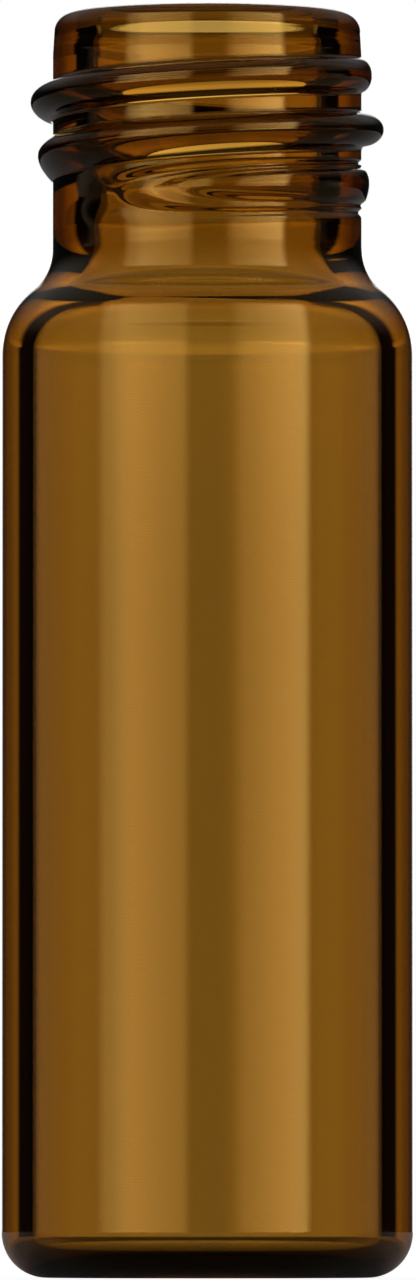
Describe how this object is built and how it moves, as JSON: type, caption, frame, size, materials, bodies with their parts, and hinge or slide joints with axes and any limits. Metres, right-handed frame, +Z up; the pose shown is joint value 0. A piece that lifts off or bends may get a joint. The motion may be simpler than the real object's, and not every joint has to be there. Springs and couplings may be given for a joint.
{
  "type": "glass sample vial",
  "caption": "Amber glass sample vial with a flat base, rounded shoulder, open round mouth and a coarse right-hand screw thread round its neck.",
  "frame": {"origin": "centre of the base, on the plane the vial stands on", "axes": "+Z up along the vial's axis, out of the mouth; +X to the right and -Y towards the viewer, with the thread half grown on the +X side"},
  "size_m": [0.0148, 0.0146, 0.0453],
  "materials": {
    "amber_glass": "clear, glossy, smooth"
  },
  "bodies": {
    "root": {"vial": "amber_glass"}
  },
  "joints": []
}
